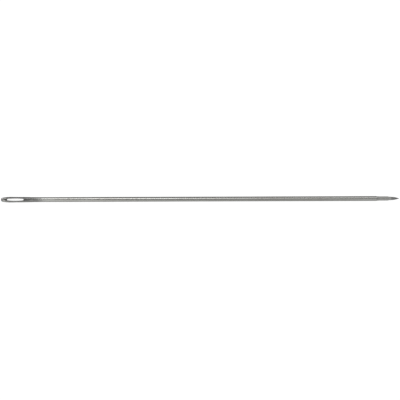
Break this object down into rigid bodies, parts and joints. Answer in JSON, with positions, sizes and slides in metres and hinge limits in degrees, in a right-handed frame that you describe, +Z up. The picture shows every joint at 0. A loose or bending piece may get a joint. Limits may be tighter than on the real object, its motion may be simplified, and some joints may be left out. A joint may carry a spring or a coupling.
{
  "type": "upholstery needle",
  "caption": "Long straight needle of round polished steel wire, with a slotted eye pressed at one end, gutters that lead the thread into it, and a triangular ground point.",
  "frame": {"origin": "on the surface that the needle lies on, below the middle of its length", "axes": "+X from the eye to the point, +Z up through the eye's slot"},
  "size_m": [0.2032, 0.0028, 0.0024],
  "materials": {
    "steel": "drawn wire polished lengthwise, semi-bright"
  },
  "bodies": {
    "root": {"needle": "steel"}
  },
  "joints": []
}
